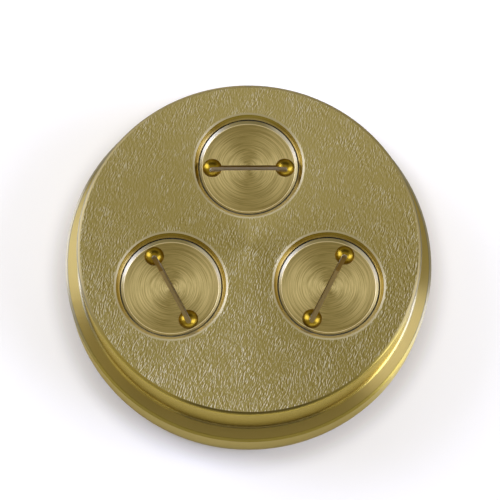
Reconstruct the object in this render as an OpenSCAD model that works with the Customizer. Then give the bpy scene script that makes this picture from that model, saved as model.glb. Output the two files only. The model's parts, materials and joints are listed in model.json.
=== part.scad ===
// Pasta extrusion die for ribbons with ruffled edges: a turned brass body with a clamping flange,
// and three brass shaping inserts that seat on a shoulder of their own stepped bores.
// The outlet face looks up, and the origin is at the centre of the inlet face.

/* [Die body] */
// Outer diameter of the clamping flange
flange_d = 57; // [55:0.5:70]
// Height of the clamping flange
flange_h = 6.8; // [4:0.1:10]
// Width of the ledge that the clamping ring bears on
ledge_w = 2.3; // [1.5:0.1:3]
// Height of the nose above the ledge
nose_h = 8.2; // [7:0.1:16]
// Radius of the rounded edge of the outlet face
nose_edge = 0.6; // [0.2:0.05:1]
// Edge break on the flange, above and below
flange_edge = 0.35; // [0.1:0.05:0.8]
// Root radius between the nose and the ledge
root_r = 0.5; // [0.1:0.05:0.8]

/* [Insert layout] */
// Distance from the die axis to the axis of the upper insert
upper_pitch_r = 12.9; // [12.5:0.05:14.5]
// Distance from the die axis to the axes of the lower two inserts
lower_pitch_r = 13.4; // [13:0.05:15]
// Angle from the upper insert to each of the lower two
spread = 117.5; // [112:0.5:120]

/* [Outlet of each insert] */
// Length of the ribbon slot between the centres of its two ball-milled ends
slot_l = 11.2; // [8:0.1:13]
// Width of the ribbon slot, which is the thickness of the ribbon
slot_w = 0.8; // [0.4:0.05:1.2]
// Radius of the ball cutter that opens each end of the slot
ball_r = 1.7; // [1:0.05:2.2]
// Depth that the ball cutter goes below the floor of the insert
ball_depth = 0.9; // [0.6:0.05:1.4]
// Thickness of the land that the slot goes through
land_h = 2.5; // [2:0.1:4]
// Flat floor left outside the ball-milled ends
floor_margin = 0.05; // [0.05:0.05:0.5]

/* [Rim of each insert] */
// Width of the bevel from the floor up to the rim
rim_w = 0.4; // [0.2:0.05:0.6]
// Height of the rim above the floor
rim_h = 0.42; // [0.3:0.02:0.8]
// Width of the broken outer edge of the rim, which shows as the dark joint
joint_w = 0.15; // [0.05:0.05:0.2]
// Depth of the broken outer edge of the rim
joint_h = 0.3; // [0.1:0.05:0.6]

/* [Seat of each insert] */
// Height of the collar from the seat to the floor of the insert
collar_h = 5.5; // [5:0.1:8]
// Width of the shoulder that the insert seats on
shoulder_w = 1.3; // [0.8:0.1:1.8]
// Distance from the inlet face of the die up to the back of the insert
back_recess = 1.5; // [0.5:0.1:4]
// Room round the ends of the slot in the feed bore
feed_margin = 0.3; // [0.1:0.05:0.4]
// Radial clearance between the insert and its bore
seat_clearance = 0.05; // [0.02:0.01:0.1]
// Edge break at the inlet of the bores and on the back of the inserts
inlet_edge = 0.4; // [0.2:0.05:0.8]

/* [Mouth of each pocket] */
// Width of the countersink round the rim of the insert
countersink_w = 0.55; // [0.4:0.05:1]
// Depth of the countersink
countersink_h = 0.75; // [0.4:0.05:1]
// Width of the shallow bevel where the pocket meets the outlet face
mouth_edge_w = 0.35; // [0.1:0.05:0.5]
// Depth of the shallow bevel
mouth_edge_h = 0.1; // [0.05:0.01:0.2]

/* [Hidden] */
$fn = 128;

// How far a cutting shape runs past the face that it opens
cut_over = 1;
body_brass = [0.62, 0.55, 0.31];
insert_brass = [0.68, 0.59, 0.34];

die_h = flange_h + nose_h;
flange_r = flange_d / 2;
nose_r = flange_r - ledge_w;

// Levels, from the outlet face down to the back of the insert
joint_z = die_h - mouth_edge_h - countersink_h;
floor_z = joint_z - rim_h;
seat_z = floor_z - collar_h;
land_z = floor_z - land_h;

// Radii of one insert and its bore, from the slot outwards
feed_r = slot_l / 2 + slot_w / 2 + feed_margin;
ball_rim_r = sqrt(pow(ball_r, 2) - pow(ball_r - ball_depth, 2));
floor_r = slot_l / 2 + ball_rim_r + floor_margin;
rim_r = floor_r + rim_w;
collar_r = rim_r + joint_w;
bore_r = collar_r + seat_clearance;
base_r = collar_r + shoulder_w;
inlet_r = base_r + seat_clearance;
countersink_r = bore_r + countersink_w;
mouth_r = countersink_r + mouth_edge_w;

upper_angle = 90;

// Half section of the turned blank, with the edge and the root of the nose rounded
module blank_section() {
  difference() {
    polygon([
      [0, 0],
      [flange_r - flange_edge, 0],
      [flange_r, flange_edge],
      [flange_r, flange_h - flange_edge],
      [flange_r - flange_edge, flange_h],
      [nose_r, flange_h],
      [nose_r, die_h],
      [0, die_h]
    ]);
    translate([nose_r - nose_edge, die_h - nose_edge])
      difference() {
        square(nose_edge + cut_over);
        circle(nose_edge);
      }
  }
  translate([nose_r, flange_h])
    difference() {
      square(root_r);
      translate([root_r, root_r])
        circle(root_r);
    }
}

// Stepped bore that one insert is loaded into from the inlet side
module insert_bore() {
  rotate_extrude()
    polygon([
      [0, -cut_over],
      [inlet_r + inlet_edge, -cut_over],
      [inlet_r + inlet_edge, 0],
      [inlet_r, inlet_edge],
      [inlet_r, seat_z],
      [bore_r, seat_z],
      [bore_r, joint_z],
      [countersink_r, joint_z + countersink_h],
      [mouth_r, die_h],
      [mouth_r, die_h + cut_over],
      [0, die_h + cut_over]
    ]);
}

// Turned insert: a base below the seat, a collar with a dished rim, and the feed bore up to the land
module insert_blank() {
  rotate_extrude()
    polygon([
      [feed_r + inlet_edge, back_recess],
      [base_r - inlet_edge, back_recess],
      [base_r, back_recess + inlet_edge],
      [base_r, seat_z],
      [collar_r, seat_z],
      [collar_r, joint_z - joint_h],
      [rim_r, joint_z],
      [floor_r, floor_z],
      [0, floor_z],
      [0, land_z],
      [feed_r, land_z],
      [feed_r, back_recess + inlet_edge]
    ]);
}

// Ribbon slot through the land, with round ends
module ribbon_slot() {
  translate([0, 0, land_z - cut_over])
    linear_extrude(land_h + 2 * cut_over) {
      square([slot_l, slot_w], center = true);
      for (side = [-1, 1])
        translate([side * slot_l / 2, 0])
          circle(slot_w / 2);
    }
}

// Ball-milled recess at each end of the slot, which feeds the edges faster and ruffles them
module ball_recesses() {
  for (side = [-1, 1])
    translate([side * slot_l / 2, 0, floor_z + ball_r - ball_depth])
      sphere(ball_r);
}

module shaping_insert() {
  difference() {
    insert_blank();
    ribbon_slot();
    ball_recesses();
  }
}

// Moves a shape from the die axis to one insert axis, with its X axis square to the line between the two
module at_insert(angle) {
  pitch_r = angle == upper_angle ? upper_pitch_r : lower_pitch_r;
  rotate(angle - upper_angle)
    translate([0, pitch_r])
      children();
}

module die_body() {
  color(body_brass)
    difference() {
      rotate_extrude()
        blank_section();
      for (step = [-1, 0, 1])
        at_insert(upper_angle + step * spread)
          insert_bore();
    }
}

module upper_insert() {
  color(insert_brass)
    at_insert(upper_angle)
      shaping_insert();
}

module left_insert() {
  color(insert_brass)
    at_insert(upper_angle + spread)
      shaping_insert();
}

module right_insert() {
  color(insert_brass)
    at_insert(upper_angle - spread)
      shaping_insert();
}

die_body();
upper_insert();
left_insert();
right_insert();
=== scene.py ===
import json
import math

import bpy
from mathutils import Matrix, Vector


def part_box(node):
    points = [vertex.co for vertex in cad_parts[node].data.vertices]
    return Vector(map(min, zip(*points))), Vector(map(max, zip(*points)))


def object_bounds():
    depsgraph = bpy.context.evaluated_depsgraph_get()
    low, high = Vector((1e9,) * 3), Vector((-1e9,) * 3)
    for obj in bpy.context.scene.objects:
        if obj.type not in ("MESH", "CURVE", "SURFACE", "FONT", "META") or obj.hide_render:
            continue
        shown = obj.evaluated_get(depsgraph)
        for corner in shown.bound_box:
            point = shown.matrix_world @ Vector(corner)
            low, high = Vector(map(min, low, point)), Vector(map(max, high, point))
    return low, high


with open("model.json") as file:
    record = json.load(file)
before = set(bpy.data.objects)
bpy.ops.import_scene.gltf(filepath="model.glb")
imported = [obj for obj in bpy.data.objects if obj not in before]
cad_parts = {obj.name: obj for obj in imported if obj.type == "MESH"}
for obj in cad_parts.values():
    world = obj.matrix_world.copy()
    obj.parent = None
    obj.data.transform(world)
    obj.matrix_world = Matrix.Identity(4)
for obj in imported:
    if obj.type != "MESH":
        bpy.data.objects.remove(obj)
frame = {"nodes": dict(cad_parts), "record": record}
cad_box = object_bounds()

MM = 0.001
INSERTS = ["upper_insert", "left_insert", "right_insert"]

# Camera, fitted to the outlines of the face, the flange and the pockets
CAMERA_DISTANCE = 285 * MM
CAMERA_TILT = math.radians(16.83)
CAMERA_AZIMUTH = math.radians(-4.04)
CAMERA_ROLL = math.radians(3.56)
CAMERA_TARGET = Vector((0.048, -0.702, 15)) * MM
CAMERA_CLIP = 10 * MM
LENS = 135.65
SENSOR = 36

# Light of the studio, linear: the dome, its dark part on the camera's side, and the lamps
HORIZON_LIGHT = (0.62, 0.62, 0.6)
OVERHEAD_LIGHT = (0.46, 0.43, 0.32)
GLOOM_LIGHT = (0.04, 0.04, 0.04)
DOME_FALLOFF = 2
GLOOM_FACING = (0.4, 0.65)
GLOOM_FOOT = (0.35, 0.5)
GLOOM_TOP = (0.86, 0.76)
SIDE_LAMP = (0.92, 1.0, 1.5)
BACK_LAMP = (0.93, 1.0, 1.3)
TOP_LAMP = (1.0, 1.0, 1.0)

# Floor: half its width in metres, its linear colours, and its glow round the part and below it
FLOOR_HALF = 3
PAPER_DULL = (0.93, 0.9, 0.83)
PAPER_PALE = (0.95, 0.92, 0.85)
PAPER_CLOUD = (1 / 3, 1 / 3, 1 / 3)
NO_GLOW = (0, 0, 0)
ROUND_GLOW = (0.25, 0.25, 0.25)
BELOW_GLOW = (0.135, 0.102, 0.043)

# Linear colours of the outlet face, with painted highlights and painted shade on its strokes and hairlines,
# and painted shade towards its front middle
FACE_BRASS = (0.49, 0.397, 0.138)
FACE_CLOUD = (0.46, 0.37, 0.12)
FACE_PAINTED_SHADE = (0.41, 0.33, 0.1)
STROKE_PAINTED_HIGHLIGHT = (0.86, 0.79, 0.58)
STROKE_PAINTED_SHADE = (0.25, 0.185, 0.035)
HAIR_PAINTED_HIGHLIGHT = (0.88, 0.83, 0.66)

# Linear colours of the nose, the ledge and the flange, and the tint of their gloss at grazing angles. The
# edge, the root and the flange's corner get painted light that changes round the die: painted shade at the
# front, painted highlights on the flanks, the left and the top of the side edge
WALL_BRASS = (0.47, 0.365, 0.085)
WALL_LINES = (0.36, 0.27, 0.05)
LEDGE_BRASS = (0.63, 0.51, 0.195)
LEDGE_LINES = (0.46, 0.36, 0.12)
RIM_BRASS = (0.5, 0.4, 0.135)
RIM_LINES = (0.3, 0.235, 0.06)
SIDE_PAINTED_LIGHT = (0.36, 0.32, 0.2)
SIDE_EDGE_PAINTED_HIGHLIGHT = (0.66, 0.545, 0.25)
FRONT_EDGE_PAINTED_SHADE = (0.31, 0.24, 0.075)
RIGHT_EDGE_PAINTED_LIGHT = (0.46, 0.36, 0.085)
LEFT_EDGE_PAINTED_HIGHLIGHT = (0.8, 0.63, 0.15)
FRONT_ROOT_PAINTED_SHADE = (0.33, 0.255, 0.085)
FLANK_ROOT_PAINTED_HIGHLIGHT = (0.7, 0.54, 0.13)
FRONT_CORNER_PAINTED_LIGHT = (0.46, 0.36, 0.08)
GRAZING_TINT = (0.97, 0.9, 0.68)

# Linear colours of the pockets, with painted shade at their back and painted light at their front, and of the
# joint and the painted highlight lines round an insert
POCKET_BRASS = (0.42, 0.33, 0.07)
POCKET_BANDS = (0.66, 0.53, 0.2)
POCKET_FAR_PAINTED_SHADE = (0.27, 0.19, 0.015)
POCKET_NEAR_PAINTED_LIGHT = (0.72, 0.61, 0.3)
MOUTH_BRASS = (0.65, 0.57, 0.35)
MOUTH_LINES = (0.54, 0.46, 0.25)
JOINT_GREY = (0.24, 0.235, 0.215)
JOINT_BRASS = (0.46, 0.4, 0.24)
PAINTED_HIGHLIGHT_LINE = (0.92, 0.79, 0.45)

# Linear colours of the inserts, with painted highlight arcs on the bevel, painted shade in the ball ends and
# painted light in the feed bore
RING_BRASS = (0.67, 0.535, 0.205)
RING_SHADE = (0.42, 0.325, 0.1)
BEVEL_BRASS = (0.47, 0.4, 0.19)
LEFT_ARC_PAINTED_HIGHLIGHT = (0.52, 0.49, 0.38)
RIGHT_ARC_PAINTED_HIGHLIGHT = (0.9, 0.84, 0.66)
FEED_PAINTED_LIGHT = (0.85, 0.72, 0.42)
BALL_BRASS_AND_SHADE = (0.34, 0.22, 0.015)
POLISH_SHADE = (0.4, 0.28, 0.05)
SLOT_BRASS = (0.85, 0.77, 0.58)

# Roughness of the finishes
FACE_ROUGHNESS = 0.42
WALL_ROUGHNESS = 0.27
EDGE_ROUGHNESS = 0.58
RIM_ROUGHNESS = 0.38
LEDGE_ROUGHNESS = 0.37
POCKET_ROUGHNESS = 0.13
POCKET_NEAR_ROUGHNESS = 0.36
MOUTH_ROUGHNESS = 0.4
RING_ROUGHNESS = 0.6
BEVEL_ROUGHNESS = 0.43
BALL_ROUGHNESS = 0.3
MATT_ROUGHNESS = 0.7

# How far a finish scatters light to one side, from 0 to 1
FACE_ANISOTROPY = 0.4
TURNED_ANISOTROPY = 1.0
POCKET_ANISOTROPY = 0.4
RING_ANISOTROPY = 0.85

# Sizes of the body, from the frame, and the radii of the edge and the root of its nose
mounts = {mount["name"]: mount for mount in frame["record"]["mounts"]}
DIE_TOP = cad_box[1].z
LEDGE_LEVEL = mounts["clamping_ledge"]["pos_m"][2]
NOSE_RADIUS = mounts["nose"]["dims"]["r_mm"] * MM
FLANGE_RADIUS = mounts["flange_rim"]["dims"]["r_mm"] * MM
EDGE_ROUNDING = 0.6 * MM
ROOT_ROUNDING = 0.5 * MM

# Ring through the centre of the section of each rounding: its radius and level
EDGE_RING = (NOSE_RADIUS - EDGE_ROUNDING, DIE_TOP - EDGE_ROUNDING)
ROOT_RING = (NOSE_RADIUS + ROOT_ROUNDING, LEDGE_LEVEL + ROOT_ROUNDING)

# Sizes of an insert and its pocket: the box from the frame, and the levels and radii of their steps
insert_low, insert_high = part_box("upper_insert")
INSERT_WIDTH = insert_high.x - insert_low.x
INSERT_TOP = insert_high.z
FLOOR_LEVEL = INSERT_TOP - 0.42 * MM
SLOT_REACH = 6 * MM
FLOOR_RADIUS = 7.15 * MM
RIM_RADIUS = 7.55 * MM
BORE_RADIUS = 7.75 * MM
POCKET_RADIUS = 8.75 * MM

# Where the glow of the floor begins and is full: outside the flange, and below the part
ROUND_GLOW_REACH = (FLANGE_RADIUS + 0.3 * MM, FLANGE_RADIUS + 4.5 * MM)
BELOW_GLOW_REACH = (FLANGE_RADIUS - 2.5 * MM, FLANGE_RADIUS - 3.5 * MM)

# How far a normal looks up on level surfaces, the inlet face, the flange's corner and the walls of a slot
LEVEL = (0.9, 0.99)
UPSIDE_DOWN = (-0.9, -0.99)
CORNER = (0.3, 0.5)
UPRIGHT = (0.06, 0.02)

# Finishes of the body: the width where turned ones meet, and the levels or radii between which each sets in
MEETING = 0.2 * MM
FACE_TOP = (DIE_TOP - 0.03 * MM, DIE_TOP - 0.01 * MM)
FACE_EDGE = (EDGE_RING[0] + 0.08 * MM, EDGE_RING[0])
FRONT_EDGE = (DIE_TOP - 0.14 * MM, DIE_TOP - 0.07 * MM)
SIDE_EDGE = (DIE_TOP - EDGE_ROUNDING, DIE_TOP - 0.4 * MM)
UPPER_EDGE = (DIE_TOP - 0.2 * MM, DIE_TOP - 0.1 * MM)
FLANGE_EDGE = (FLANGE_RADIUS - 0.5 * MM, FLANGE_RADIUS - 0.4 * MM)
MOUTH_TOP = (DIE_TOP - 0.13 * MM, DIE_TOP - 0.09 * MM)
POCKET_FOOT = (BORE_RADIUS + 0.23 * MM, BORE_RADIUS + 0.15 * MM)
BORE_JOINT_TOP = (INSERT_TOP + 0.02 * MM, INSERT_TOP)
BORE_JOINT_FOOT = (INSERT_TOP - 2 * MM, INSERT_TOP - MM)

# Finishes of an insert: the radius, the level, or the depth below its floor where each begins and is full
FLOOR_EDGE = (FLOOR_RADIUS - 0.05 * MM, FLOOR_RADIUS - 0.09 * MM)
FLOOR_DEPTH = (0.03 * MM, 0.01 * MM)
LINE_INSIDE = (FLOOR_RADIUS - 0.09 * MM, FLOOR_RADIUS - 0.05 * MM)
LINE_OUTSIDE = (FLOOR_RADIUS + 0.07 * MM, FLOOR_RADIUS + 0.03 * MM)
BALL_TOP = (0.01 * MM, 0.06 * MM)
BALL_FOOT = (1.3 * MM, 1.1 * MM)
SLOT_TOP = (0.7 * MM, 0.95 * MM)
SLOT_END = (SLOT_REACH + 0.15 * MM, SLOT_REACH + 0.05 * MM)
FEED_TOP = (2.4 * MM, 2.6 * MM)
RIM_JOINT_TOP = (INSERT_TOP - 0.1 * MM, INSERT_TOP - 0.16 * MM)
RIM_JOINT_FOOT = (0.6 * MM, 0.1 * MM)
RIM_JOINT_EDGE = (RIM_RADIUS, RIM_RADIUS + 0.02 * MM)

# How much of its second colour a finish takes on at most
WALL_LINE_SHARE = 0.5
LEDGE_LINE_SHARE = 0.35
RIM_LINE_SHARE = 0.6
MOUTH_LINE_SHARE = 0.6
CLOUD_SHARE = 0.3
POLISH_SHARE = 0.25

# Zones of the body, along Y from the middle to the front, and along X to the left, where the painted light of
# the edge, the root and the corner changes
FRONT_ZONE = (-8 * MM, -18 * MM)
VERY_FRONT_ZONE = (-22.5 * MM, -25 * MM)
LEFT_ZONE = (-4 * MM, -12 * MM)

# Strokes of the outlet face: the sizes of their noise, their lean and drift, and the depth of their relief,
# whose two sides get a painted highlight and painted shade
STROKE_LEAN = math.radians(-17)
STROKE_CELL = (0.19 * MM, 0.78 * MM, 0)
FINE_STROKE_CELL = (0.1 * MM, 0.42 * MM, 0)
FINE_STROKE_SHARE = 0.3
HAIR_CELL = (0.1 * MM, 1.9 * MM, 0)
DRIFT_CELL = (7 * MM, 7 * MM, 0)
PATCH_CELL = (3 * MM, 3 * MM, 0)
CLOUD_CELL = (9 * MM, 9 * MM, 9 * MM)
STROKE_DRIFT = 1.4 * MM
STROKE_SHIFT = (0.14 * MM, 0.1 * MM, 0)
STROKE_DEPTH = 0.05 * MM
PALE_RELIEF = (0.05, 0.15)
DARK_RELIEF = (-0.03, -0.16)
HAIR_EDGE = (0.63, 0.72)
HAIR_PATCH = (0.35, 0.6)

# Strength of the strokes, which grows to the front and the edge of the face and differs from patch to patch
FRONT_STROKE_ZONE = (9 * MM, -4 * MM)
FRONT_STROKES = (0.35, 0.78)
EDGE_STROKE_ZONE = (17 * MM, 25 * MM)
EDGE_STROKES = (0.0, 0.22)
PATCH_STROKES = (-0.8, 0.8)
LEAST_STROKES = 0.25

# Painted shade of the face, along Y to the front, and along X from the sides to the middle, where it is full
SHADE_ZONE = (6 * MM, -8 * MM)
SHADE_MIDDLE = (22 * MM, 12 * MM)
SHADE_SHARES = (0.35, 1.0)

# Turning lines: the pitch of each kind, and the depth of its relief
TURNING_PITCH = 0.12 * MM
TURNING_DEPTH = 0.003 * MM
BAND_PITCH = 0.26 * MM
BAND_EDGE = (0.42, 0.6)
RING_PITCH = 0.17 * MM
FINE_RING_PITCH = 0.08 * MM
FINE_RING_SHARE = 0.45
RING_DEPTH = 0.03 * MM
RING_EDGE = (0.4, 0.62)

# Angles in degrees by which the two cuts on an insert floor lean from true rings
FLOOR_SWIRLS = (-41, 0)

# Zones of a pocket and an insert, along Y and X from their own axis, where painted shade and painted
# highlights lie
POCKET_FAR_ZONE = (3.5 * MM, 7 * MM)
POCKET_FAR_SHARE = 0.75
POCKET_NEAR_ZONE = (-MM, -6 * MM)
ARC_ZONE = (0, 3 * MM)
RIGHT_ARC_ZONE = (2 * MM, 5 * MM)
LEFT_ARC_ZONE = (-2 * MM, -5 * MM)

# Noise of the joint and of the polished surfaces of an insert
JOINT_CELL = (2.5 * MM, 2.5 * MM, 2.5 * MM)
JOINT_EDGE = (0.46, 0.62)
POLISH_CELL = (0.4 * MM, 0.4 * MM, 0.4 * MM)


class Tree:
    """A node tree, with short calls that add a node and join its inputs."""

    def __init__(self, tree):
        self.tree = tree
        tree.nodes.clear()

    def put(self, socket, value):
        """Joins a socket to a node's output, or sets it. A colour is given without its alpha."""
        if isinstance(value, bpy.types.NodeSocket):
            self.tree.links.new(value, socket)
        elif socket.type == "RGBA":
            socket.default_value = (*value, 1)
        else:
            socket.default_value = value

    def add(self, kind, inputs=(), **settings):
        node = self.tree.nodes.new(kind)
        for name, value in settings.items():
            setattr(node, name, value)
        for socket, value in dict(inputs).items():
            self.put(node.inputs[socket], value)
        return node

    def math(self, operation, *values):
        return self.add("ShaderNodeMath", enumerate(values), operation=operation).outputs[0]

    def all_of(self, mask, *others):
        """Where every mask holds, as their product."""
        for other in others:
            mask = self.math("MULTIPLY", mask, other)
        return mask

    def vector(self, operation, *values):
        node = self.add("ShaderNodeVectorMath", enumerate(values), operation=operation)
        return node.outputs["Value" if operation in ("LENGTH", "DOT_PRODUCT") else "Vector"]

    def scaled(self, vector, scale):
        return self.vector("MULTIPLY", vector, scale)

    def flat(self, vector):
        return self.scaled(vector, (1, 1, 0))

    def flat_length(self, vector):
        return self.vector("LENGTH", self.flat(vector))

    def turned(self, vector, angle):
        inputs = {"Vector": vector, "Angle": angle}
        return self.add("ShaderNodeVectorRotate", inputs, rotation_type="Z_AXIS").outputs["Vector"]

    def split(self, vector):
        return self.add("ShaderNodeSeparateXYZ", {"Vector": vector}).outputs

    def join(self, x, y, z):
        return self.add("ShaderNodeCombineXYZ", {"X": x, "Y": y, "Z": z}).outputs[0]

    def step(self, value, low, high):
        """Rises smoothly from 0 at low to 1 at high, or falls where low is the larger."""
        inputs = {"Value": value, "From Min": low, "From Max": high}
        return self.add("ShaderNodeMapRange", inputs, interpolation_type="SMOOTHSTEP").outputs["Result"]

    def between(self, value, low, high):
        """Carries a value from 0 to 1 over to the range from low to high."""
        inputs = {"Value": value, "To Min": low, "To Max": high}
        return self.add("ShaderNodeMapRange", inputs).outputs["Result"]

    def noise(self, vector, cell=(1, 1, 1), detail=2.0, roughness=0.5):
        """Noise with cells of the given lengths, which doesn't change along an axis with a length of 0."""
        scale = [1 / length if length else 0 for length in cell]
        inputs = {"Vector": self.scaled(vector, scale), "Scale": 1.0}
        inputs.update({"Detail": detail, "Roughness": roughness})
        return self.add("ShaderNodeTexNoise", inputs).outputs["Fac"]

    def mixed(self, data_type, kind, factor, a, b):
        """A Mix node, which has one set of sockets for each kind of value."""
        node = self.add("ShaderNodeMix", data_type=data_type)
        for name, wanted, value in (("Factor", "VALUE", factor), ("A", kind, a), ("B", kind, b)):
            socket = next(s for s in node.inputs if s.name == name and s.type == wanted and s.enabled)
            self.put(socket, value)
        return next(s for s in node.outputs if s.type == kind and s.enabled)

    def mix(self, factor, a, b):
        return self.mixed("FLOAT", "VALUE", factor, a, b)

    def mix_colour(self, factor, a, b):
        return self.mixed("RGBA", "RGBA", factor, a, b)

    def mix_vector(self, factor, a, b):
        return self.mixed("VECTOR", "VECTOR", factor, a, b)

    def lined(self, lines, share, a, b):
        """Colour a, with up to a share of colour b where the lines are high."""
        return self.mix_colour(self.between(lines, 0.0, share), a, b)

    def bump(self, height, distance, normal=None):
        inputs = {"Height": height, "Distance": distance, "Strength": 1.0}
        if normal is not None:
            inputs["Normal"] = normal
        return self.add("ShaderNodeBump", inputs).outputs["Normal"]


class Point:
    """The point being shaded: its place in the frame and in its node's box, and its normal."""

    def __init__(self, tree):
        outputs = tree.add("ShaderNodeTexCoord").outputs
        self.place, self.in_box, self.normal = outputs["Object"], outputs["Generated"], outputs["Normal"]
        self.x, self.y, self.z = tree.split(self.place)
        self.upward = tree.split(self.normal)[2]


def new_material(name):
    material = bpy.data.materials.new(name)
    material.use_nodes = True
    return material, Tree(material.node_tree)


def brass(tree, colour, roughness, normal, tangent, anisotropy, grazing_tint=(1, 1, 1)):
    """A metal shader whose grain scatters light along the tangent, with a tint at grazing angles."""
    inputs = {"Base Color": colour, "Roughness": roughness, "Normal": normal, "Tangent": tangent}
    inputs.update({"Metallic": 1.0, "Anisotropic": anisotropy, "Specular Tint": grazing_tint})
    return tree.add("ShaderNodeBsdfPrincipled", inputs).outputs[0]


def blend(tree, factor, a, b):
    return tree.add("ShaderNodeMixShader", {0: factor, 1: a, 2: b}).outputs[0]


def finish(tree, shader):
    tree.add("ShaderNodeOutputMaterial", {"Surface": shader})


def across_turning(tree, spoke, normal):
    """Direction across the turning lines of a surface of revolution."""
    round_the_axis = tree.vector("CROSS_PRODUCT", (0, 0, 1), spoke)
    return tree.vector("NORMALIZE", tree.vector("CROSS_PRODUCT", round_the_axis, normal))


def turning_height(tree, spoke, z, pitch):
    """Height of irregular turning lines: noise that changes with radius and level, little round the axis."""
    along = tree.math("MULTIPLY", tree.math("ADD", tree.flat_length(spoke), z), 1 / pitch)
    x, y, _ = tree.split(spoke)
    angle = tree.math("ARCTAN2", y, x)
    vector = tree.join(along, tree.math("SINE", angle), tree.math("COSINE", angle))
    return tree.noise(vector, detail=3, roughness=0.6)


def joint_colour(tree, place):
    """Colour of the joint round an insert: grey, with stretches of clean brass."""
    patch = tree.noise(place, JOINT_CELL, detail=1)
    return tree.mix_colour(tree.step(patch, *JOINT_EDGE), JOINT_GREY, JOINT_BRASS)


def pocket_of(tree, at):
    """Whether a point lies in a pocket, and the spoke to it from that pocket's axis, or else the die's."""
    axis = (0, 0, 0)
    in_pocket = 0.0
    for node in INSERTS:
        low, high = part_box(node)
        centre = Vector(((low.x + high.x) / 2, (low.y + high.y) / 2, 0))
        reach = tree.flat_length(tree.vector("SUBTRACT", at.place, centre))
        inside = tree.math("LESS_THAN", reach, POCKET_RADIUS)
        axis = tree.vector("ADD", axis, tree.scaled(centre, tree.join(inside, inside, inside)))
        in_pocket = tree.math("ADD", in_pocket, inside)
    return in_pocket, tree.vector("SUBTRACT", at.place, axis)


def rounding(tree, at, radius, ring, side):
    """Where a rounding lies, and its normal: away from its ring if side is 1, towards it if side is -1."""
    out = tree.math("SUBTRACT", radius, ring[0])
    up = tree.math("SUBTRACT", at.z, ring[1])
    inside = tree.all_of(tree.math("GREATER_THAN", tree.math("MULTIPLY", out, side), 0.0),
                         tree.math("GREATER_THAN", tree.math("MULTIPLY", up, side), 0.0))
    spoke = tree.vector("NORMALIZE", tree.flat(at.place))
    offset = tree.vector("ADD", tree.scaled(spoke, tree.join(out, out, 0.0)), tree.join(0.0, 0.0, up))
    return inside, tree.vector("NORMALIZE", tree.scaled(offset, (side, side, side)))


def smooth_normal(tree, at, radius):
    """Normal of the body, exact on the edge and the root of the nose, where the mesh has few faces."""
    in_edge, edge_normal = rounding(tree, at, radius, EDGE_RING, 1)
    in_root, root_normal = rounding(tree, at, radius, ROOT_RING, -1)
    in_root = tree.all_of(in_root, tree.math("GREATER_THAN", at.z, LEDGE_LEVEL - MEETING),
                          tree.math("GREATER_THAN", radius, NOSE_RADIUS - MEETING))
    return tree.mix_vector(in_root, tree.mix_vector(in_edge, at.normal, edge_normal), root_normal)


def stroke_height(tree, grain):
    """Height of the short strokes on the outlet face, along the Y axis of their grain."""
    coarse = tree.noise(grain, STROKE_CELL, detail=1.5)
    return tree.mix(FINE_STROKE_SHARE, coarse, tree.noise(grain, FINE_STROKE_CELL, detail=1))


def grained_face(tree, at, radius):
    """Brass of the outlet face: short strokes that lean to the right, stronger at the front and edge, each
    with a painted highlight on one side and painted shade on the other, hairlines of painted highlight, and
    painted shade towards the front middle.
    """
    drift = tree.between(tree.noise(at.place, DRIFT_CELL, detail=1), 0.0, STROKE_DRIFT)
    grain = tree.vector("ADD", tree.turned(at.place, -STROKE_LEAN), tree.join(drift, 0.0, 0.0))
    ridges = stroke_height(tree, grain)
    relief = tree.math("SUBTRACT", ridges, stroke_height(tree, tree.vector("ADD", grain, STROKE_SHIFT)))

    patch = tree.noise(at.place, PATCH_CELL)
    to_the_front = tree.between(tree.step(at.y, *FRONT_STROKE_ZONE), *FRONT_STROKES)
    to_the_edge = tree.between(tree.step(radius, *EDGE_STROKE_ZONE), *EDGE_STROKES)
    strength = tree.math("ADD", to_the_front, to_the_edge)
    strength = tree.math("ADD", strength, tree.between(patch, *PATCH_STROKES))
    strength = tree.math("MAXIMUM", strength, LEAST_STROKES)
    cover = tree.math("MINIMUM", strength, 1.0)
    # Painted highlight on one side of each stroke's relief, painted shade on the other
    pale = tree.all_of(tree.step(relief, *PALE_RELIEF), cover)
    dark = tree.all_of(tree.step(relief, *DARK_RELIEF), cover)
    # Painted highlights along sparse hairlines
    hair = tree.all_of(tree.step(tree.noise(grain, HAIR_CELL, detail=1), *HAIR_EDGE),
                       tree.step(patch, *HAIR_PATCH))

    # Painted shade: the face darkens towards the front and the middle
    middle = tree.step(tree.math("ABSOLUTE", at.x), *SHADE_MIDDLE)
    shade = tree.all_of(tree.step(at.y, *SHADE_ZONE), tree.between(middle, *SHADE_SHARES))
    colour = tree.lined(tree.noise(at.place, CLOUD_CELL), CLOUD_SHARE, FACE_BRASS, FACE_CLOUD)
    colour = tree.mix_colour(shade, colour, FACE_PAINTED_SHADE)
    colour = tree.mix_colour(dark, colour, STROKE_PAINTED_SHADE)
    colour = tree.mix_colour(pale, colour, STROKE_PAINTED_HIGHLIGHT)
    colour = tree.mix_colour(hair, colour, HAIR_PAINTED_HIGHLIGHT)
    bumped = tree.bump(tree.math("MULTIPLY", ridges, strength), STROKE_DEPTH)
    across_grain = (math.cos(STROKE_LEAN), math.sin(STROKE_LEAN), 0)
    return brass(tree, colour, FACE_ROUGHNESS, bumped, across_grain, FACE_ANISOTROPY)


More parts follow.
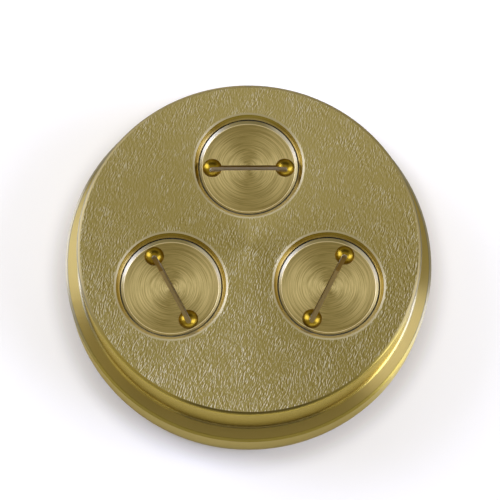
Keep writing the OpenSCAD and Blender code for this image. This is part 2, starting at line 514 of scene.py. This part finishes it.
def turned_sides(tree, at, radius, lines):
    """Colour and roughness of the nose, the ledge and the flange, which differ at the front and the sides,
    where the edge, the root and the corner get painted shade and painted highlights.
    """
    front = tree.step(at.y, *FRONT_ZONE)
    very_front = tree.step(at.y, *VERY_FRONT_ZONE)
    above_flange = tree.step(at.z, LEDGE_LEVEL - 2 * MEETING, LEDGE_LEVEL - MEETING)
    on_ledge = tree.all_of(tree.step(radius, ROOT_RING[0] - MEETING, ROOT_RING[0]),
                           tree.step(at.z, ROOT_RING[1] - MEETING, ROOT_RING[1] - 2 * MEETING), above_flange)
    on_ledge = tree.math("MAXIMUM", on_ledge, tree.step(at.upward, *UPSIDE_DOWN))
    in_root = tree.all_of(tree.step(at.z, ROOT_RING[1] + MEETING, ROOT_RING[1]),
                          tree.step(radius, ROOT_RING[0] + MEETING, ROOT_RING[0]), above_flange)
    on_rim = tree.step(radius, *FLANGE_EDGE)
    on_edge = tree.mix(front, tree.step(at.z, *SIDE_EDGE), tree.step(at.z, *FRONT_EDGE))

    wall = tree.lined(lines, WALL_LINE_SHARE, WALL_BRASS, WALL_LINES)
    ledge = tree.lined(lines, LEDGE_LINE_SHARE, LEDGE_BRASS, LEDGE_LINES)
    # Painted light on the edge, the root and the flange's corner: painted shade at the front, painted
    # highlights on the flanks, the left and the top of the side edge
    flank_edge = tree.mix_colour(tree.step(at.x, *LEFT_ZONE), RIGHT_EDGE_PAINTED_LIGHT, LEFT_EDGE_PAINTED_HIGHLIGHT)
    front_edge = tree.mix_colour(very_front, flank_edge, FRONT_EDGE_PAINTED_SHADE)
    side_edge = tree.mix_colour(tree.step(at.z, *UPPER_EDGE), SIDE_PAINTED_LIGHT, SIDE_EDGE_PAINTED_HIGHLIGHT)
    edge = tree.mix_colour(front, side_edge, front_edge)
    root = tree.mix_colour(front, SIDE_PAINTED_LIGHT, FLANK_ROOT_PAINTED_HIGHLIGHT)
    root = tree.mix_colour(very_front, root, FRONT_ROOT_PAINTED_SHADE)
    corner = tree.mix_colour(front, SIDE_PAINTED_LIGHT, FRONT_CORNER_PAINTED_LIGHT)
    rim = tree.lined(lines, RIM_LINE_SHARE, RIM_BRASS, RIM_LINES)
    rim = tree.mix_colour(tree.step(at.upward, *CORNER), rim, corner)

    colour = tree.mix_colour(on_ledge, tree.mix_colour(on_edge, wall, edge), ledge)
    colour = tree.mix_colour(in_root, colour, tree.mix_colour(on_ledge, root, colour))
    colour = tree.mix_colour(on_rim, colour, rim)
    roughness = tree.mix(on_rim, tree.mix(on_edge, WALL_ROUGHNESS, EDGE_ROUGHNESS), RIM_ROUGHNESS)
    return colour, tree.mix(on_ledge, roughness, LEDGE_ROUGHNESS)


def pocket_walls(tree, at, spoke, lines):
    """Colour and roughness of a pocket: painted shade in deep gold at its back, painted light at its front, a
    painted highlight line at its foot, and pale at its mouth.
    """
    on_mouth = tree.step(at.z, *MOUTH_TOP)
    in_joint = tree.all_of(tree.step(at.z, *BORE_JOINT_TOP), tree.step(at.z, *BORE_JOINT_FOOT))
    on_line = tree.step(tree.flat_length(spoke), *POCKET_FOOT)
    along = tree.split(spoke)[1]
    # Painted shade at the back of the pocket and painted light at its front
    far = tree.math("MULTIPLY", tree.step(along, *POCKET_FAR_ZONE), POCKET_FAR_SHARE)
    near = tree.step(along, *POCKET_NEAR_ZONE)

    bands = turning_height(tree, spoke, at.z, BAND_PITCH)
    colour = tree.mix_colour(tree.step(bands, *BAND_EDGE), POCKET_BRASS, POCKET_BANDS)
    # Painted highlight line at the foot of the pocket
    colour = tree.mix_colour(on_line, colour, PAINTED_HIGHLIGHT_LINE)
    colour = tree.mix_colour(far, colour, POCKET_FAR_PAINTED_SHADE)
    colour = tree.mix_colour(near, colour, POCKET_NEAR_PAINTED_LIGHT)
    mouth = tree.lined(lines, MOUTH_LINE_SHARE, MOUTH_BRASS, MOUTH_LINES)
    colour = tree.mix_colour(on_mouth, colour, mouth)
    colour = tree.mix_colour(in_joint, colour, joint_colour(tree, at.place))
    roughness = tree.mix(near, POCKET_ROUGHNESS, POCKET_NEAR_ROUGHNESS)
    return colour, tree.mix(on_mouth, roughness, MOUTH_ROUGHNESS)


def make_body_brass():
    """Brass of the body: a grained outlet face, turned sides, and smooth pockets."""
    material, tree = new_material("body_brass_finish")
    at = Point(tree)
    radius = tree.flat_length(at.place)
    in_pocket, spoke = pocket_of(tree, at)
    on_face = tree.all_of(tree.step(at.z, *FACE_TOP), tree.step(at.upward, *LEVEL),
                          tree.step(radius, *FACE_EDGE))

    # Turned surfaces scatter light across their turning lines
    lines = turning_height(tree, spoke, at.z, TURNING_PITCH)
    smooth = smooth_normal(tree, at, radius)
    across = across_turning(tree, spoke, smooth)
    bumped = tree.bump(lines, TURNING_DEPTH, smooth)
    colour, roughness = turned_sides(tree, at, radius, lines)
    sides = brass(tree, colour, roughness, bumped, across, TURNED_ANISOTROPY, GRAZING_TINT)
    colour, roughness = pocket_walls(tree, at, spoke, lines)
    pocket = brass(tree, colour, roughness, bumped, across, POCKET_ANISOTROPY)
    finish(tree, blend(tree, on_face, blend(tree, in_pocket, sides, pocket), grained_face(tree, at, radius)))
    return material


def ringed_floor(tree, at, spoke):
    """Brass of an insert floor: turning rings left by two cuts, each with its own direction of scatter."""
    rings = tree.mix(FINE_RING_SHARE, turning_height(tree, spoke, at.z, RING_PITCH),
                     turning_height(tree, spoke, at.z, FINE_RING_PITCH))
    bumped = tree.bump(rings, RING_DEPTH)
    colour = tree.mix_colour(tree.step(rings, *RING_EDGE), RING_BRASS, RING_SHADE)
    across = across_turning(tree, spoke, at.normal)
    tangents = [tree.turned(across, math.radians(swirl)) for swirl in FLOOR_SWIRLS]
    cuts = [brass(tree, colour, RING_ROUGHNESS, bumped, tangent, RING_ANISOTROPY) for tangent in tangents]
    return blend(tree, 0.5, *cuts)


def polished_rim(tree, at, spoke, reach, below):
    """Brass of an insert off its floor: a bevel with painted highlight arcs, ball ends with painted shade, a
    feed bore with painted light, a matt slot, a painted highlight line, and the joint.
    """
    in_ball = tree.all_of(tree.step(below, *BALL_TOP), tree.step(below, *BALL_FOOT))
    in_slot = tree.all_of(tree.step(at.upward, *UPRIGHT), tree.step(below, *SLOT_TOP),
                          tree.step(reach, *SLOT_END))
    in_feed = tree.step(below, *FEED_TOP)
    in_joint = tree.all_of(tree.step(at.z, *RIM_JOINT_TOP), tree.step(below, *RIM_JOINT_FOOT),
                           tree.step(reach, *RIM_JOINT_EDGE))
    on_line = tree.all_of(tree.step(reach, *LINE_INSIDE), tree.step(reach, *LINE_OUTSIDE))

    x, y, _ = tree.split(spoke)
    # Painted highlights in arcs on the left and right of the bevel
    arc = tree.step(y, *ARC_ZONE)
    bevel = tree.mix_colour(tree.all_of(tree.step(x, *LEFT_ARC_ZONE), arc), BEVEL_BRASS, LEFT_ARC_PAINTED_HIGHLIGHT)
    bevel = tree.mix_colour(tree.all_of(tree.step(x, *RIGHT_ARC_ZONE), arc), bevel, RIGHT_ARC_PAINTED_HIGHLIGHT)
    # Painted light: the feed bore is paler than the brass round it
    colour = tree.mix_colour(in_feed, bevel, FEED_PAINTED_LIGHT)
    # The ball ends' own brass, darkened with painted shade
    colour = tree.mix_colour(in_ball, colour, BALL_BRASS_AND_SHADE)
    colour = tree.lined(tree.noise(at.place, POLISH_CELL), POLISH_SHARE, colour, POLISH_SHADE)
    colour = tree.mix_colour(in_slot, colour, SLOT_BRASS)
    # Painted highlight line round the edge of the floor
    colour = tree.mix_colour(on_line, colour, PAINTED_HIGHLIGHT_LINE)
    colour = tree.mix_colour(in_joint, colour, joint_colour(tree, at.place))

    matt = tree.math("MAXIMUM", in_slot, in_joint)
    polish = tree.mix(in_ball, BEVEL_ROUGHNESS, BALL_ROUGHNESS)
    inputs = {"Base Color": colour, "Roughness": tree.mix(matt, polish, MATT_ROUGHNESS),
              "Metallic": tree.math("SUBTRACT", 1.0, matt), "Specular IOR Level": 0.0}
    return tree.add("ShaderNodeBsdfPrincipled", inputs).outputs[0]


def make_insert_brass():
    """Brass of the inserts: a floor with turning rings, and polished and matt surfaces round it."""
    material, tree = new_material("insert_brass_finish")
    at = Point(tree)
    from_axis = tree.vector("SUBTRACT", at.in_box, (0.5, 0.5, 0.5))
    spoke = tree.scaled(from_axis, (INSERT_WIDTH, INSERT_WIDTH, 0))
    reach = tree.flat_length(spoke)
    below = tree.math("SUBTRACT", FLOOR_LEVEL, at.z)
    on_floor = tree.all_of(tree.step(at.upward, *LEVEL), tree.step(below, *FLOOR_DEPTH),
                           tree.step(reach, *FLOOR_EDGE))
    rim = polished_rim(tree, at, spoke, reach, below)
    finish(tree, blend(tree, on_floor, rim, ringed_floor(tree, at, spoke)))
    return material


def dress(node, material):
    """Gives a CAD node a finish in place of its own."""
    slots = frame["nodes"][node].data.materials
    slots.clear()
    slots.append(material)


def make_floor():
    """A pale floor, large enough to reach the horizon of every view."""
    mesh = bpy.data.meshes.new("floor")
    corners = [(x * FLOOR_HALF, y * FLOOR_HALF, 0) for x, y in ((-1, -1), (1, -1), (1, 1), (-1, 1))]
    mesh.from_pydata(corners, [], [(0, 1, 2, 3)])
    floor = bpy.data.objects.new("floor", mesh)
    bpy.context.scene.collection.objects.link(floor)

    material, tree = new_material("pale_floor")
    place = tree.add("ShaderNodeTexCoord").outputs["Object"]
    colour = tree.mix_colour(tree.noise(place, PAPER_CLOUD), PAPER_DULL, PAPER_PALE)
    paper = tree.add("ShaderNodeBsdfDiffuse", {"Color": colour}).outputs[0]
    path = tree.add("ShaderNodeLightPath").outputs
    seen = tree.math("MAXIMUM", path["Is Camera Ray"], path["Is Glossy Ray"])
    seen = tree.math("MAXIMUM", seen, path["Is Transmission Ray"])
    reach = tree.vector("LENGTH", place)
    tint = tree.mix_colour(tree.step(reach, *ROUND_GLOW_REACH), NO_GLOW, ROUND_GLOW)
    tint = tree.mix_colour(tree.step(reach, *BELOW_GLOW_REACH), tint, BELOW_GLOW)
    glow = tree.add("ShaderNodeEmission", {"Color": tint, "Strength": seen}).outputs[0]
    finish(tree, tree.add("ShaderNodeAddShader", {0: paper, 1: glow}).outputs[0])
    mesh.materials.append(material)


def make_softbox(name, azimuth, elevation, distance, width, height, radiance, colour):
    """A rectangular lamp that faces the object, given by the brightness of its panel."""
    lamp = bpy.data.lights.new(name, "AREA")
    lamp.shape = "RECTANGLE"
    lamp.size, lamp.size_y = width, height
    lamp.energy = radiance * math.pi * width * height
    lamp.color = colour
    softbox = bpy.data.objects.new(name, lamp)
    turn, rise = math.radians(azimuth), math.radians(elevation)
    back = Vector((math.cos(turn) * math.cos(rise), math.sin(turn) * math.cos(rise), math.sin(rise)))
    softbox.location = back * distance
    softbox.rotation_euler = back.to_track_quat("Z", "Y").to_euler()
    bpy.context.scene.collection.objects.link(softbox)


def make_world():
    """A plain dome, paler at the horizon, warmer overhead, and dark on the camera's side of the room."""
    world = bpy.data.worlds.new("studio")
    bpy.context.scene.world = world
    world.use_nodes = True
    tree = Tree(world.node_tree)
    direction = tree.add("ShaderNodeTexCoord").outputs["Generated"]
    rise = tree.math("MAXIMUM", tree.split(direction)[2], 0.0)
    share = tree.math("POWER", tree.math("SUBTRACT", 1.0, rise), DOME_FALLOFF)
    colour = tree.mix_colour(share, OVERHEAD_LIGHT, HORIZON_LIGHT)
    facing = tree.vector("DOT_PRODUCT", tree.vector("NORMALIZE", tree.flat(direction)), (0, -1, 0))
    band = tree.all_of(tree.step(rise, *GLOOM_FOOT), tree.step(rise, *GLOOM_TOP))
    gloom = tree.all_of(tree.step(facing, *GLOOM_FACING), band)
    colour = tree.mix_colour(gloom, colour, GLOOM_LIGHT)
    background = tree.add("ShaderNodeBackground", {"Color": colour, "Strength": 1.0})
    tree.add("ShaderNodeOutputWorld", {"Surface": background.outputs[0]})


def make_camera():
    """Camera at the photograph's view: tilted from the die axis, a little to the left, and rolled."""
    tilt, azimuth, roll = CAMERA_TILT, CAMERA_AZIMUTH, CAMERA_ROLL
    forward = Vector((-math.sin(azimuth), math.cos(azimuth), 0))
    axis = Vector((0, 0, 1))
    back = axis * math.cos(tilt) - forward * math.sin(tilt)
    level_up = axis * math.sin(tilt) + forward * math.cos(tilt)
    level_right = level_up.cross(back)
    right = math.cos(roll) * level_right + math.sin(roll) * level_up
    up = math.cos(roll) * level_up - math.sin(roll) * level_right
    data = bpy.data.cameras.new("camera")
    data.lens = LENS
    data.sensor_width = SENSOR
    data.clip_start = CAMERA_CLIP
    camera = bpy.data.objects.new("camera", data)
    turn = Matrix((right, up, back)).transposed().to_4x4()
    camera.matrix_world = Matrix.Translation(CAMERA_TARGET + back * CAMERA_DISTANCE) @ turn
    bpy.context.scene.collection.objects.link(camera)
    bpy.context.scene.camera = camera


make_camera()
make_floor()
make_world()
make_softbox("right_softbox", azimuth=-12, elevation=26, distance=0.5,
             width=0.31, height=0.46, radiance=3.9, colour=SIDE_LAMP)
make_softbox("left_softbox", azimuth=157, elevation=26, distance=0.5,
             width=0.28, height=0.46, radiance=3.9, colour=SIDE_LAMP)
make_softbox("back_softbox", azimuth=97, elevation=22, distance=0.5,
             width=0.6, height=0.16, radiance=1.5, colour=BACK_LAMP)
make_softbox("top_softbox", azimuth=-90, elevation=74, distance=0.6,
             width=0.4, height=0.2, radiance=0.2, colour=TOP_LAMP)

dress("die_body", make_body_brass())
insert_brass = make_insert_brass()
for insert in INSERTS:
    dress(insert, insert_brass)

bpy.context.scene.view_settings.view_transform = "Standard"
